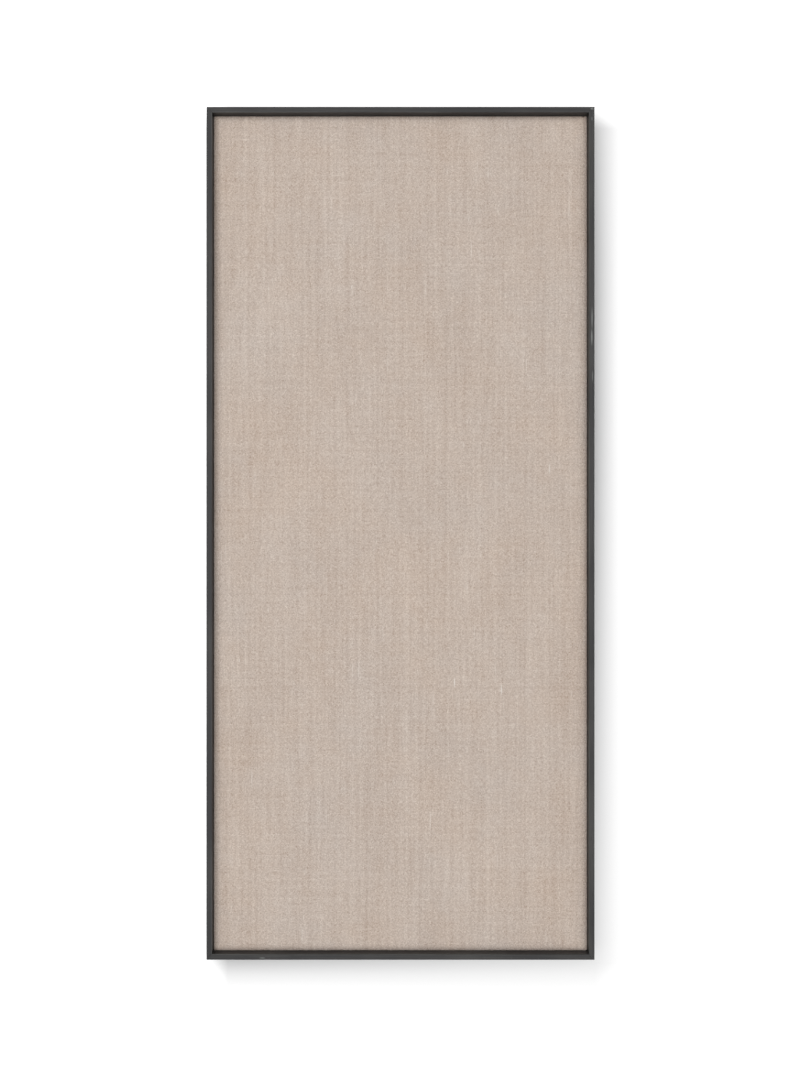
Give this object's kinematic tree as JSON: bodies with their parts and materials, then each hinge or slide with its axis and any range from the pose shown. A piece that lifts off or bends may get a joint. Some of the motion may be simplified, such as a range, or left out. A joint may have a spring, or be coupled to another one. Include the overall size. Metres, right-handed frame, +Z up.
{
  "type": "pinboard",
  "caption": "Tall, slim wall pinboard: a linen-covered panel set back in a thin mitred frame of black-stained wood, with swinging D-ring hangers and bumpers behind.",
  "frame": {"origin": "the middle of the board's outline, on the wall plane that the bumpers' rear faces touch", "axes": "+Z up, +Y towards the wall, so the linen faces -Y; +X to the right as seen from the front"},
  "size_m": [0.455, 0.0315, 1],
  "materials": {
    "stained_wood": "black-stained, open grain, satin",
    "linen": "plain-woven natural linen, slubbed",
    "softboard": "pressed wood fibre, raw",
    "hardboard": "pressed hardboard, smooth side out",
    "zinced_steel": "bright zinc plate",
    "nail_steel": "bare bright steel",
    "black_rubber": "moulded, matt"
  },
  "bodies": {
    "board": {"left_stile": "stained_wood", "right_stile": "stained_wood", "top_rail": "stained_wood", "bottom_rail": "stained_wood", "linen_cover": "linen", "softboard_core": "softboard", "backing_board": "hardboard", "left_panel_screw_lower": "zinced_steel", "left_panel_screw_middle": "zinced_steel", "left_panel_screw_upper": "zinced_steel", "right_panel_screw_lower": "zinced_steel", "right_panel_screw_middle": "zinced_steel", "right_panel_screw_upper": "zinced_steel", "top_panel_screw_middle": "zinced_steel", "bottom_panel_screw_middle": "zinced_steel", "lower_left_v_nail_outer": "nail_steel", "lower_left_v_nail_inner": "nail_steel", "lower_right_v_nail_outer": "nail_steel", "lower_right_v_nail_inner": "nail_steel", "upper_left_v_nail_outer": "nail_steel", "upper_left_v_nail_inner": "nail_steel", "upper_right_v_nail_outer": "nail_steel", "upper_right_v_nail_inner": "nail_steel", "left_staple_1": "zinced_steel", "left_staple_2": "zinced_steel", "left_staple_3": "zinced_steel", "left_staple_4": "zinced_steel", "left_staple_5": "zinced_steel", "left_staple_6": "zinced_steel", "left_staple_7": "zinced_steel", "left_staple_8": "zinced_steel", "right_staple_1": "zinced_steel", "right_staple_2": "zinced_steel", "right_staple_3": "zinced_steel", "right_staple_4": "zinced_steel", "right_staple_5": "zinced_steel", "right_staple_6": "zinced_steel", "right_staple_7": "zinced_steel", "right_staple_8": "zinced_steel", "top_staple_1": "zinced_steel", "top_staple_2": "zinced_steel", "top_staple_3": "zinced_steel", "top_staple_4": "zinced_steel", "bottom_staple_1": "zinced_steel", "bottom_staple_2": "zinced_steel", "bottom_staple_3": "zinced_steel", "bottom_staple_4": "zinced_steel", "left_hanger_strap": "zinced_steel", "left_hanger_screw_upper": "zinced_steel", "left_hanger_screw_lower": "zinced_steel", "right_hanger_strap": "zinced_steel", "right_hanger_screw_upper": "zinced_steel", "right_hanger_screw_lower": "zinced_steel", "left_bumper": "black_rubber", "right_bumper": "black_rubber"},
    "left_ring": {"left_hanger_ring": "zinced_steel"},
    "right_ring": {"right_hanger_ring": "zinced_steel"}
  },
  "joints": [
    {"name": "left_ring_swing", "type": "hinge", "parent": "board", "child": "left_ring", "pos_m": [-0.21325, -0.00235, 0.33], "axis": [1, 0, 0], "range_deg": [0, 180]},
    {"name": "right_ring_swing", "type": "hinge", "parent": "board", "child": "right_ring", "pos_m": [0.21325, -0.00235, 0.33], "axis": [1, 0, 0], "range_deg": [0, 180]}
  ]
}
